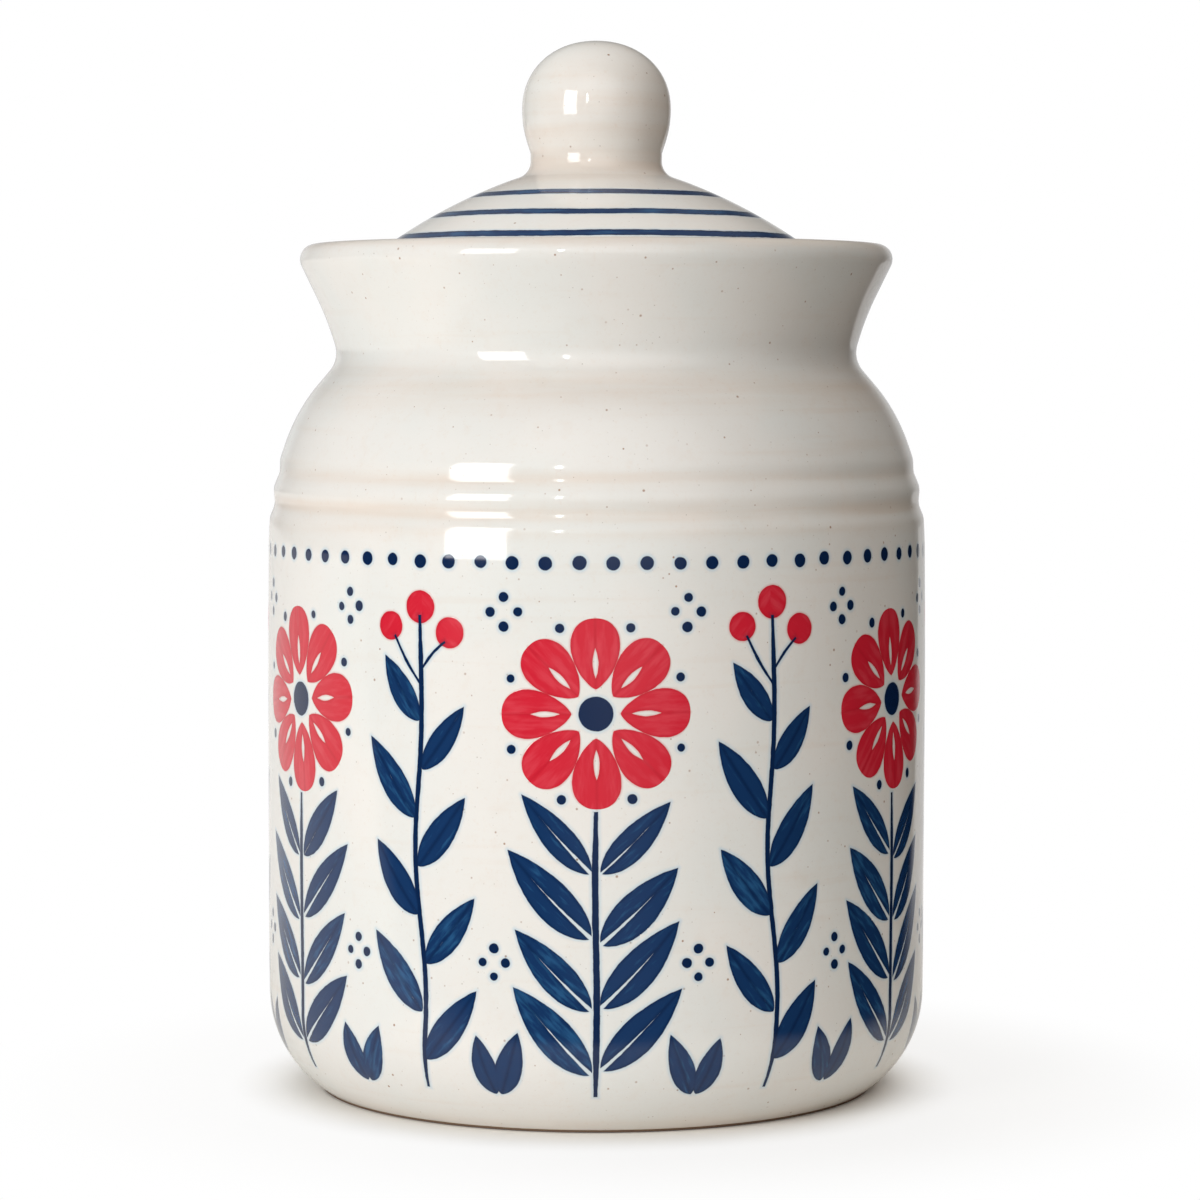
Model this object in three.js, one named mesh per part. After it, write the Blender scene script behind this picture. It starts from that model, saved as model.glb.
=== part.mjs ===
// Ceramic storage jar: a clay shell with a flared collar, a domed lid that drops inside the collar,
// and the lid's hollow knob. Millimetres, +Z up, standing on Z = 0 with the jar's axis on the Z axis.
import * as THREE from 'three';

// How finely the round forms are cut
const facets = 48;
const chordError = 0.07;

// Body
const bodyDiameter = 130;
const wall = 5.2;
const wallTaper = 0.3;
const floorThickness = 5.5;
const floorFillet = 11;

// Foot, set in from the wall
const footInset = 10.2;
const footRingWidth = 7;
const footHeight = 0.5;
const footRecess = 2.5;
const footRecessFillet = 1.2;
const footRecessSlope = 1.2;
const footEdgeFillet = 0.4;
const baseCornerRise = 6.7;
const baseCornerFillet = 24;

// Grooves and the bead between them: drop below the shoulder corner, inset from the wall
const upperGrooveDrop = 8;
const upperGrooveInset = 2.65;
const beadDrop = 11.4;
const beadInset = 1.15;
const lowerGrooveDrop = 14.1;
const lowerGrooveInset = 1.5;
const wallTopDrop = 17.8;
const wallTopFillet = 4.2;
const grooveFillet = 2.1;

// Shoulder, neck and collar: each height is a drop from the one above, each inset is from the wall
const jarHeight = 165.9;
const rimCornerInset = 5;
const kneeDrop = 14.4;
const kneeInset = 11.9;
const kneeFillet = 60;
const neckDrop = 8;
const neckInset = 14.4;
const neckFillet = 5.5;
const shoulderDrop = 13.7;
const shoulderInset = 3.25;
const shoulderFillet = 21;
const lipOuterFillet = 3;
const lipInnerFillet = 1.8;
const collarWall = 5.4;
const shoulderWall = 5.5;
const innerShoulderFillet = 18;

// Ledge inside the collar that carries the lid
const ledgeDepth = 10.9;
const ledgeWidth = 4.5;
const ledgeFillet = 1;
const throatFillet = 5;

// Fits between the pieces
const seatGap = 0.3;
const lidEdgeClearance = 0.75;
const skirtClearance = 0.6;
const lutingGap = 0.3;

// Lid
const flangeEdge = 5.1;
const flangeEdgeFillet = 1.5;
const skirtDepth = 8.3;
const skirtWall = 3.8;
const skirtFillet = 1.4;
const skirtRootFillet = 2.8;
const domeRise = 24.75;
const domeBow = 104;
const lidWall = 4.6;
const bossHeight = 2.15;
const bossFillet = 3.2;
const boreFillet = 1.2;

// Knob
const knobDiameter = 29.4;
const knobNeckDiameter = 25.6;
const knobWaist = 9.9;
const knobCrown = 13.4;
const knobWall = 4.5;

// Heights and radii that follow from the sizes above
const bodyRadius = bodyDiameter / 2;
const innerRadius = bodyRadius - wall;
const footRadius = bodyRadius - footInset;
const floorHeight = footRecess + floorThickness;
const baseCornerHeight = footHeight + baseCornerRise;
const rimCornerRadius = bodyRadius - rimCornerInset;
const kneeRadius = bodyRadius - kneeInset;
const kneeHeight = jarHeight - kneeDrop;
const neckRadius = bodyRadius - neckInset;
const neckHeight = kneeHeight - neckDrop;
const shoulderRadius = bodyRadius - shoulderInset;
const shoulderHeight = neckHeight - shoulderDrop;
const wallTop = shoulderHeight - wallTopDrop;
const ledgeHeight = jarHeight - ledgeDepth;
const ledgeRadius = collarInside(ledgeHeight);
const throatRadius = ledgeRadius - ledgeWidth;
const seatHeight = ledgeHeight + seatGap;
const flangeRadius = ledgeRadius - lidEdgeClearance;
const skirtRadius = throatRadius - skirtClearance;
const bossRadius = knobNeckDiameter / 2;
const boreRadius = bossRadius - knobWall;
const bossTop = seatHeight + domeRise + bossHeight;

// Radius of the collar's inner face, parallel to its outer face between knee and rim
function collarInside(height) {
  const slope = (rimCornerRadius - kneeRadius) / kneeDrop;
  const outside = rimCornerRadius - (jarHeight - height) * slope;
  return outside - collarWall * Math.hypot(1, slope);
}

// Height at which the inner shoulder, parallel to the outer one, reaches a radius
function innerShoulderHeight(radius) {
  const slope = (shoulderRadius - neckRadius) / shoulderDrop;
  const inside = shoulderRadius - shoulderWall * Math.hypot(1, slope);
  return shoulderHeight + (inside - radius) / slope;
}

function corner(radius, height, fillet = 0) {
  return { at: new THREE.Vector2(radius, height), fillet };
}

// Half the angle between the two sides that meet in a corner
function halfAngle(before, at, after) {
  const back = before.clone().sub(at);
  const ahead = after.clone().sub(at);
  return back.angleTo(ahead) / 2;
}

// Points of the arc that rounds a corner, beginning and ending the given length away from it
function cornerArc(before, at, after, length) {
  const half = halfAngle(before, at, after);
  const back = before.clone().sub(at).normalize();
  const ahead = after.clone().sub(at).normalize();
  const start = at.clone().addScaledVector(back, length);
  const middle = back.clone().add(ahead).normalize();
  const centre = at.clone().addScaledVector(middle, length / Math.cos(half));
  const turn = (Math.PI - 2 * half) * Math.sign(ahead.cross(back));
  const radius = Math.max(length * Math.tan(half), chordError);
  const step = 2 * Math.acos(1 - chordError / radius);
  const count = Math.max(1, Math.round(Math.abs(turn) / step));
  const points = [];
  for (let i = 0; i <= count; i += 1) {
    points.push(start.clone().rotateAround(centre, turn * i / count));
  }
  return points;
}

// A chain of corners turned into points; fillets that would meet on one side are shortened to fit it
function outline(corners, closed = false) {
  const count = corners.length;
  const at = (i) => corners[(i + count) % count].at;
  const isEnd = (i) => !closed && (i === 0 || i === count - 1);
  const lengths = corners.map((c, i) => {
    const plain = c.fillet === 0 || isEnd(i);
    return plain ? 0 : c.fillet / Math.tan(halfAngle(at(i - 1), c.at, at(i + 1)));
  });
  const share = (i, j) => {
    const wanted = lengths[i] + lengths[(j + count) % count];
    return Math.min(1, 0.97 * at(i).distanceTo(at(j)) / wanted);
  };
  const points = [];
  corners.forEach((c, i) => {
    if (lengths[i] === 0) {
      points.push(c.at.clone());
      return;
    }
    const length = lengths[i] * Math.min(share(i, i - 1), share(i, i + 1));
    points.push(...cornerArc(at(i - 1), c.at, at(i + 1), length));
  });
  if (closed) {
    points.push(points[0].clone());
  }
  return points;
}

// Corners along a line bowed outwards between two points, without the points themselves
function bowed(from, to, bow, pieces) {
  const chord = to.clone().sub(from);
  const reach = Math.max(bow, chord.length());
  const side = new THREE.Vector2(-chord.y, chord.x).normalize();
  const depth = Math.sqrt(reach * reach - chord.lengthSq() / 4);
  const centre = from.clone().addScaledVector(chord, 0.5).addScaledVector(side, depth);
  const sweep = 2 * Math.asin(chord.length() / 2 / reach);
  const corners = [];
  for (let i = 1; i < pieces; i += 1) {
    const point = from.clone().rotateAround(centre, sweep * i / pieces);
    corners.push(corner(point.x, point.y));
  }
  return corners;
}

function revolve(name, points, colour, roughness) {
  const geometry = new THREE.LatheGeometry(points, facets).rotateX(Math.PI / 2);
  const material = new THREE.MeshStandardMaterial({ color: colour, roughness, metalness: 0 });
  const mesh = new THREE.Mesh(geometry, material);
  mesh.name = name;
  return mesh;
}

function footCorners() {
  const ringInside = footRadius - footRingWidth;
  return [
    corner(0, footRecess),
    corner(ringInside - footRecessSlope, footRecess, footRecessFillet),
    corner(ringInside, 0, footEdgeFillet),
    corner(footRadius, 0, footEdgeFillet),
    corner(footRadius, footHeight, footEdgeFillet),
  ];
}

function wallCorners() {
  return [
    corner(bodyRadius, baseCornerHeight, baseCornerFillet),
    corner(bodyRadius, (baseCornerHeight + wallTop) / 2),
    corner(bodyRadius - wallTaper, wallTop, wallTopFillet),
    corner(bodyRadius - lowerGrooveInset, shoulderHeight - lowerGrooveDrop, grooveFillet),
    corner(bodyRadius - beadInset, shoulderHeight - beadDrop, grooveFillet),
    corner(bodyRadius - upperGrooveInset, shoulderHeight - upperGrooveDrop, grooveFillet),
  ];
}

function collarCorners() {
  return [
    corner(shoulderRadius, shoulderHeight, shoulderFillet),
    corner(neckRadius, neckHeight, neckFillet),
    corner(kneeRadius, kneeHeight, kneeFillet),
    corner(rimCornerRadius, jarHeight, lipOuterFillet),
    corner(collarInside(jarHeight), jarHeight, lipInnerFillet),
  ];
}

function insideCorners() {
  return [
    corner(ledgeRadius, ledgeHeight, ledgeFillet),
    corner(throatRadius, ledgeHeight, ledgeFillet),
    corner(throatRadius, innerShoulderHeight(throatRadius), throatFillet),
    corner(innerRadius, innerShoulderHeight(innerRadius), innerShoulderFillet),
    corner(innerRadius, floorHeight, floorFillet),
    corner(0, floorHeight),
  ];
}

function jarBody() {
  const corners = [...footCorners(), ...wallCorners(), ...collarCorners(), ...insideCorners()];
  return revolve('jar_body', outline(corners), '#e9e7e0', 0.16);
}

// The lid is a ring about the bore in its boss: underside, skirt, flange, dome, boss
function lidBody() {
  const skirtInside = skirtRadius - skirtWall;
  const edge = new THREE.Vector2(flangeRadius, seatHeight + flangeEdge);
  const crown = new THREE.Vector2(bossRadius, seatHeight + domeRise);
  const underEdge = new THREE.Vector2(skirtInside, edge.y);
  const underCrown = new THREE.Vector2(boreRadius, crown.y - lidWall);
  const corners = [
    corner(underCrown.x, underCrown.y, boreFillet),
    ...bowed(underEdge, underCrown, domeBow, 5).reverse(),
    corner(underEdge.x, underEdge.y, skirtRootFillet),
    corner(skirtInside, seatHeight - skirtDepth, skirtFillet),
    corner(skirtRadius, seatHeight - skirtDepth, skirtFillet),
    corner(skirtRadius, seatHeight, ledgeFillet),
    corner(flangeRadius, seatHeight, flangeEdgeFillet),
    corner(edge.x, edge.y, flangeEdgeFillet),
    ...bowed(edge, crown, domeBow, 7),
    corner(crown.x, crown.y, bossFillet),
    corner(bossRadius, bossTop),
    corner(boreRadius, bossTop),
  ];
  return revolve('lid', outline(corners, true), '#e7e5dd', 0.16);
}

// One side of the knob from its foot to the axis: a waist that swells to the widest circle, then the crown
function knobSide(neck, widest, crown, foot) {
  const middle = foot + knobWaist;
  const waist = new THREE.CubicBezierCurve(
    new THREE.Vector2(neck, foot),
    new THREE.Vector2(neck, foot + 0.2 * knobWaist),
    new THREE.Vector2(widest, middle - 0.55 * knobWaist),
    new THREE.Vector2(widest, middle),
  );
  const top = new THREE.EllipseCurve(0, middle, widest, crown, 0, Math.PI / 2);
  const points = [...waist.getPoints(5), ...top.getPoints(8).slice(1)];
  points[points.length - 1].x = 0;
  return points;
}

function lidKnob() {
  const foot = bossTop + lutingGap;
  const widest = knobDiameter / 2;
  const outside = knobSide(bossRadius, widest, knobCrown, foot);
  const inside = knobSide(boreRadius, widest - knobWall, knobCrown - knobWall, foot);
  return revolve('lid_knob', [...inside.reverse(), ...outside], '#e7e5dd', 0.16);
}

const jar = new THREE.Group();
jar.name = 'storage_jar';
jar.add(jarBody(), lidBody(), lidKnob());

export default jar;
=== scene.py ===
import math
import random

import bpy
import numpy as np
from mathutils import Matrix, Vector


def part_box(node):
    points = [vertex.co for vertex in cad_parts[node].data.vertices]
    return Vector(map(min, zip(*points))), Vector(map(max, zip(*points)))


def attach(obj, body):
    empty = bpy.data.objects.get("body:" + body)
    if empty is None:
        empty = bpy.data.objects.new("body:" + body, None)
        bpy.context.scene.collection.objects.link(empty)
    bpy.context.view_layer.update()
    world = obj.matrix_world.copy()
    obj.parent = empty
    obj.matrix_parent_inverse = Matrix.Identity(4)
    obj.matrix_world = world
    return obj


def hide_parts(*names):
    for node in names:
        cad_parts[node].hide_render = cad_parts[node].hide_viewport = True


# Glazed storage jar with a lift-off lid. Forms are written in millimetres, and meshes made in metres.

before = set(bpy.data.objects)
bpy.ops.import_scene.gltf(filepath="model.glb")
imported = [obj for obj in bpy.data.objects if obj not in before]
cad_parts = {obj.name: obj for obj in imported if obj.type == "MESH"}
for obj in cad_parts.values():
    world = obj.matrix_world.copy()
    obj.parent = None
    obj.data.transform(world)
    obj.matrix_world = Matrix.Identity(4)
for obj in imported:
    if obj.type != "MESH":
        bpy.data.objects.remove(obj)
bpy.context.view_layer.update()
mm = 0.001
print("frame loaded:", ", ".join(sorted(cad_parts)))

photoView = {
    "lens": 118.05,                            # mm
    "sensor": 36.0,                            # mm across
    "place": (0.00073, -0.7785, 0.14403),      # metres
    "lookDown": 3.548,                         # degrees below level
}


def setCamera():
    camera = bpy.data.objects.new("photoCamera", bpy.data.cameras.new("photoCamera"))
    camera.data.sensor_width = photoView["sensor"]
    camera.data.lens = photoView["lens"]
    camera.location = photoView["place"]
    camera.rotation_euler = (math.radians(90 - photoView["lookDown"]), 0, 0)
    bpy.context.scene.collection.objects.link(camera)
    bpy.context.scene.camera = camera


setCamera()
print("camera set")


# Outlines: corners are (radius, height, fillet), joined into one line from axis to axis

def unit(vector):
    return vector / np.linalg.norm(vector)


def spin(vector, turn):
    x, y = vector
    return np.array((x * math.cos(turn) - y * math.sin(turn), x * math.sin(turn) + y * math.cos(turn)))


def halfAngle(before, at, after):
    cosine = float(unit(before - at) @ unit(after - at))
    return math.acos(max(-1.0, min(1.0, cosine))) / 2


def cornerArc(before, at, after, length, step):
    half = halfAngle(before, at, after)
    back = unit(before - at)
    ahead = unit(after - at)
    centre = at + unit(back + ahead) * length / math.cos(half)
    turn = math.copysign(math.pi - 2 * half, ahead[0] * back[1] - ahead[1] * back[0])
    radius = length * math.tan(half)
    finest = math.radians(7 if radius > 2 else 12 if radius > 0.5 else 30)    # small fillets need few rows
    count = max(2, math.ceil(abs(turn) * radius / step), math.ceil(abs(turn) / finest))
    start = at + back * length - centre
    return [centre + spin(start, turn * i / count) for i in range(count + 1)]


def roundedLine(corners, step):
    at = [np.array(c[:2], float) for c in corners]
    reach = [0.0] * len(at)                    # how far each fillet runs along its two sides
    for i in range(1, len(at) - 1):
        if corners[i][2] > 0:
            reach[i] = corners[i][2] / math.tan(halfAngle(at[i - 1], at[i], at[i + 1]))

    def room(i, j):
        # crowded fillets share the side between them, with a little of it left straight
        wanted = reach[i] + reach[j]
        return min(1.0, 0.97 * np.linalg.norm(at[i] - at[j]) / wanted)

    line = []
    for i, point in enumerate(at):
        if reach[i] < 1e-6:
            line.append(point)
            continue
        length = reach[i] * min(room(i, i - 1), room(i, i + 1))
        line += cornerArc(at[i - 1], point, at[i + 1], length, step)
    return line


def cutRows(line, step):
    rows = [line[0]]
    for start, end in zip(line, line[1:]):
        count = max(1, math.ceil(np.linalg.norm(end - start) / step))
        rows += [start + (end - start) * i / count for i in range(1, count + 1)]
    return rows


def bowedLine(start, end, bow, pieces):
    # points between two ends along an arc of radius bow
    start = np.array(start, float)
    end = np.array(end, float)
    chord = end - start
    size = np.linalg.norm(chord)
    side = np.array((-chord[1], chord[0])) / size
    centre = start + chord / 2 + side * math.sqrt(bow * bow - size * size / 4)
    sweep = 2 * math.asin(size / 2 / bow)
    points = [centre + spin(start - centre, sweep * i / pieces) for i in range(1, pieces)]
    return [(p[0], p[1], 0) for p in points]


# Wheel work: an outline turned about the axis, with its seam at the back

class Turned:
    def __init__(self, name, outline, columns, sway):
        self.outline = np.array(outline)
        self.columns = columns
        rings = len(outline) - 2
        steps = np.linalg.norm(np.diff(self.outline, axis=0), axis=1)
        self.run = np.concatenate(((0.0,), np.cumsum(steps)))
        self.listLoops(rings)
        angle = self.angleOf(np.arange(columns))
        radius = self.outline[1:-1, :1] + sway(angle[None, :], self.outline[1:-1])
        height = np.repeat(self.outline[1:-1, 1:], columns, 1)
        around = np.stack((radius * np.sin(angle), -radius * np.cos(angle), height), -1).reshape(-1, 3)
        ends = [[(0.0, 0.0, self.outline[i, 1])] for i in (0, -1)]
        points = np.vstack((ends[0], around, ends[1])) * mm
        self.mesh = bpy.data.meshes.new(name)
        self.mesh.from_pydata(points.tolist(), [], self.faces)
        self.mesh.shade_smooth()
        self.piece = bpy.data.objects.new(name, self.mesh)
        bpy.context.scene.collection.objects.link(self.piece)

    def angleOf(self, column):
        return -math.pi + 2 * math.pi * column / self.columns

    def listLoops(self, rings):
        # outline row and column of every face corner, fans at both ends and squares between
        column = np.arange(self.columns)
        ones = np.ones(self.columns, int)
        row, col = np.meshgrid(np.arange(1, rings), column, indexing="ij")
        squareRow = np.stack((row, row, row + 1, row + 1), -1).reshape(-1, 4)
        squareCol = np.stack((col, col + 1, col + 1, col), -1).reshape(-1, 4)
        firstRow = np.stack((0 * ones, ones, ones), -1)
        lastRow = np.stack((ones, ones, 2 * ones), -1) + rings - 1
        fanCol = np.stack((column, column + 1, column), -1)
        blocks = [(firstRow, fanCol), (squareRow, squareCol), (lastRow, fanCol)]
        self.faces = []
        for rows, cols in blocks:
            index = 1 + (rows - 1) * self.columns + cols % self.columns
            index[rows == 0] = 0
            index[rows == rings + 1] = 1 + rings * self.columns
            self.faces += index.tolist()
        self.loopRow = np.concatenate([rows.ravel() for rows, cols in blocks])
        self.loopCol = np.concatenate([cols.ravel() for rows, cols in blocks])
        self.firstSquare = 3 * self.columns
        self.squares = squareRow, squareCol

    def pointValues(self, name, perRow):
        values = np.concatenate((perRow[:1], np.repeat(perRow[1:-1], self.columns), perRow[-1:]))
        layer = self.mesh.attributes.new(name, "FLOAT", "POINT")
        layer.data.foreach_set("value", values.astype(np.float32))

    def cornerVectors(self, name, squareFaces, vectors, elsewhere):
        values = np.tile(np.array(elsewhere, np.float32), (len(self.loopRow), 1))
        first = self.firstSquare + 4 * squareFaces
        values[(first[:, None] + np.arange(4)).ravel()] = vectors.reshape(-1, 3)
        layer = self.mesh.attributes.new(name, "FLOAT_VECTOR", "CORNER")
        layer.data.foreach_set("vector", values.ravel())

    def unwrap(self, share):
        # u goes round, v along the outline; share is the weight each row gets
        grown = np.concatenate(((0.0,), np.cumsum(np.diff(self.run) * (share[1:] + share[:-1]) / 2)))
        across = self.loopCol / self.columns
        along = (grown / grown[-1])[self.loopRow]
        layer = self.mesh.uv_layers.new(name="OFBake")
        layer.data.foreach_set("uv", np.stack((across, along), -1).astype(np.float32).ravel())


# Glaze mixing: node outputs that can be added, multiplied and compared like numbers

class Wire:
    def __init__(self, pot, socket):
        self.pot = pot
        self.socket = socket

    def __add__(self, other):
        return self.pot.sum("ADD", self, other)

    def __sub__(self, other):
        return self.pot.sum("SUBTRACT", self, other)

    def __rsub__(self, other):
        return self.pot.sum("SUBTRACT", other, self)

    def __mul__(self, other):
        return self.pot.sum("MULTIPLY", self, other)

    def __rmul__(self, other):
        return self.pot.sum("MULTIPLY", other, self)

    def __truediv__(self, other):
        return self.pot.sum("DIVIDE", self, other)

    def __pow__(self, other):
        return self.pot.sum("POWER", self, other)

    def __neg__(self):
        return self.pot.sum("MULTIPLY", self, -1.0)

    def __abs__(self):
        return self.pot.sum("ABSOLUTE", self)


class Pot:
    def __init__(self, name):
        self.material = bpy.data.materials.new(name)
        self.material.use_nodes = True
        self.nodes = self.material.node_tree.nodes
        self.links = self.material.node_tree.links
        self.nodes.clear()

    def node(self, kind, **settings):
        made = self.nodes.new("ShaderNode" + kind)
        for key, value in settings.items():
            setattr(made, key, value)
        return made

    def join(self, value, socket):
        if isinstance(value, Wire):
            self.links.new(value.socket, socket)
        else:
            socket.default_value = value

    def sum(self, operation, *values):
        made = self.node("Math", operation=operation)
        for value, socket in zip(values, made.inputs):
            self.join(value, socket)
        return Wire(self, made.outputs[0])

    def least(self, first, *others):
        for other in others:
            first = self.sum("MINIMUM", first, other)
        return first

    def most(self, first, *others):
        for other in others:
            first = self.sum("MAXIMUM", first, other)
        return first

    def root(self, value):
        return self.sum("SQRT", value)

    def fade(self, value, start, end, low=0.0, high=1.0):
        # smooth step from low at start to high at end
        made = self.node("MapRange", interpolation_type="SMOOTHSTEP")
        for item, socket in zip((value, start, end, low, high), made.inputs):
            self.join(item, socket)
        return Wire(self, made.outputs[0])

    def clip(self, value):
        made = self.node("Clamp")
        self.join(value, made.inputs[0])
        return Wire(self, made.outputs[0])

    def mix(self, amount, first, second, blend="MIX"):
        made = self.node("Mix", data_type="RGBA", blend_type=blend)
        for value, number in ((amount, 0), (first, 6), (second, 7)):    # the factor and both colours
            self.join(value, made.inputs[number])
        return Wire(self, made.outputs[2])

    def tinted(self, amount, colour, tint):
        return self.mix(amount, colour, tint, "MULTIPLY")

    def vector(self, x, y, z):
        made = self.node("CombineXYZ")
        for value, socket in zip((x, y, z), made.inputs):
            self.join(value, socket)
        return Wire(self, made.outputs[0])

    def stretched(self, vector, by):
        made = self.node("VectorMath", operation="MULTIPLY")
        self.join(vector, made.inputs[0])
        self.join(by, made.inputs[1])
        return Wire(self, made.outputs[0])

    def place(self):
        # the piece's own coordinates in millimetres
        made = self.node("TexCoord")
        return self.stretched(Wire(self, made.outputs["Object"]), (1000, 1000, 1000))

    def value(self, name):
        made = self.node("Attribute", attribute_name=name)
        return Wire(self, made.outputs["Fac"])

    def spot(self, name):
        # the three parts of a vector kept on the mesh
        made = self.node("Attribute", attribute_name=name)
        parts = self.node("SeparateXYZ")
        self.links.new(made.outputs["Vector"], parts.inputs[0])
        return [Wire(self, socket) for socket in parts.outputs]

    def cloud(self, vector, size, detail=2.0):
        # soft noise from 0 to 1 with patches about that many millimetres wide
        made = self.node("TexNoise")
        self.join(vector, made.inputs["Vector"])
        made.inputs["Scale"].default_value = 1.0 / size
        made.inputs["Detail"].default_value = detail
        return Wire(self, made.outputs[0])

    def specks(self, vector, cell, largest, share):
        # one round speck in some of the cells, of varied size and depth
        made = self.node("TexVoronoi")
        self.join(vector, made.inputs["Vector"])
        made.inputs["Scale"].default_value = 1.0 / cell
        parts = self.node("SeparateColor")
        self.links.new(made.outputs["Color"], parts.inputs[0])
        chance, size, depth = (Wire(self, socket) for socket in parts.outputs[:3])
        radius = (size * 0.75 + 0.25) * (largest / cell)
        spot = self.fade(Wire(self, made.outputs["Distance"]) / radius, 1.0, 0.4)
        return spot * self.fade(chance, 1.0 - share, 1.0 - share + 0.02) * (depth * 0.7 + 0.3)

    def bump(self, height):
        # height in millimetres
        made = self.node("Bump")
        made.inputs["Strength"].default_value = 1.0
        made.inputs["Distance"].default_value = mm
        self.join(height, made.inputs["Height"])
        return Wire(self, made.outputs[0])

    def surface(self, colour, roughness, normal):
        shader = self.node("BsdfPrincipled")
        self.join(colour, shader.inputs["Base Color"])
        self.join(roughness, shader.inputs["Roughness"])
        self.join(normal, shader.inputs["Normal"])
        shader.inputs["IOR"].default_value = 1.5
        output = self.node("OutputMaterial")
        self.links.new(shader.outputs[0], output.inputs[0])
        return self.material


def shade(red, green, blue):
    # a screen colour, 0 to 255, as the linear colour nodes use
    def linear(part):
        part /= 255
        return part / 12.92 if part < 0.04045 else ((part + 0.055) / 1.055) ** 2.4
    return (linear(red), linear(green), linear(blue), 1.0)


glaze = {
    "white": shade(237, 235, 231),
    "cool": shade(233, 234, 231),
    # the lid's glaze is a whiter copy of the jar's, partly its own tone and partly painted light that
    # brightens the upward-facing lid and knob
    "lidWhiteBrightened": shade(243, 240, 235),
    "lidCoolBrightened": shade(240, 240, 236),
    "thin": (0.95, 0.875, 0.82, 1.0),          # multiplies the white where the glaze runs thin
    "fleck": shade(152, 106, 70),
    "grit": shade(168, 158, 148),
    "clay": shade(206, 186, 158),
    "clayDark": shade(178, 152, 122),
    # dark clay used as painted contact shade along the foot's outer edge
    "clayContactShade": shade(108, 86, 70),
    "flecks": (2.5, 0.36, 0.75),               # mm from one to the next, largest radius, how many there are
    "fleckDepth": 0.9,
    "grits": (1.2, 0.18, 0.6),
    "gritDepth": 0.7,
    "gloss": 0.07,
    "clayRough": 0.7,
    "clayGrain": 0.05,                         # mm
    "waves": 0.016,                            # mm, slow waves of the surface
    "rings": 0.005,                            # mm, traces of the wheel
}


def glazeCoat(pot, place, white, cool):
    # colour, roughness and height of the plain glaze
    thin = pot.value("thinGlaze")
    bands = pot.cloud(pot.stretched(place, (0.16, 0.16, 3.2)), 9.0, 3.0)
    drift = pot.cloud(place, 26.0, 2.0)
    mottle = pot.cloud(place, 3.2, 3.0)
    colour = pot.mix(pot.fade(drift, 0.4, 0.68), white, cool)
    blush = thin * pot.fade(bands, 0.3, 0.62, 0.35, 1.25) + pot.fade(bands, 0.56, 0.76) * 0.34
    blush = blush + pot.fade(mottle, 0.52, 0.8) * 0.22
    blush = blush + pot.fade(pot.cloud(place, 0.7, 2.0), 0.55, 0.8) * 0.3
    colour = pot.tinted(pot.clip(blush), colour, glaze["thin"])
    colour = pot.mix(pot.specks(place, *glaze["flecks"]) * glaze["fleckDepth"], colour, glaze["fleck"])
    colour = pot.mix(pot.specks(place, *glaze["grits"]) * glaze["gritDepth"], colour, glaze["grit"])
    waves = pot.cloud(place, 11.0, 1.0) * glaze["waves"]
    rings = pot.cloud(pot.stretched(place, (0.03, 0.03, 1.0)), 2.4, 2.0) * glaze["rings"]
    rough = pot.cloud(place, 6.0, 2.0) * 0.05 + (glaze["gloss"] - 0.025) + thin * 0.03
    return colour, rough, waves + rings


def bareClayAndShade(pot, place, colour, rough, height):
    # raw clay where a piece stands or the lid sits, darkened as painted contact shade where the value goes
    # beyond 1
    bare = pot.value("bareClayAndShade")
    grain = pot.cloud(place, 0.7, 4.0)
    clay = pot.mix(pot.fade(pot.cloud(place, 7.0, 4.0), 0.35, 0.7), glaze["clay"], glaze["clayDark"])
    clay = pot.mix(pot.fade(grain, 0.6, 0.75) * 0.5, clay, glaze["clayDark"])
    # painted contact shade: the foot's outer edge is darkened where it meets the floor
    clay = pot.mix(pot.fade(bare, 1.1, 1.6), clay, glaze["clayContactShade"])
    edge = pot.fade(bare + (grain - 0.5) * 0.35, 0.42, 0.58)
    colour = pot.mix(edge, colour, clay)
    rough = rough + edge * glaze["clayRough"]
    return colour, rough, height + edge * grain * glaze["clayGrain"]


# Jar

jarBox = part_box("jar_body")
bodyRadius = jarBox[1].x / mm
rimHeight = jarBox[1].z / mm

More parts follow.
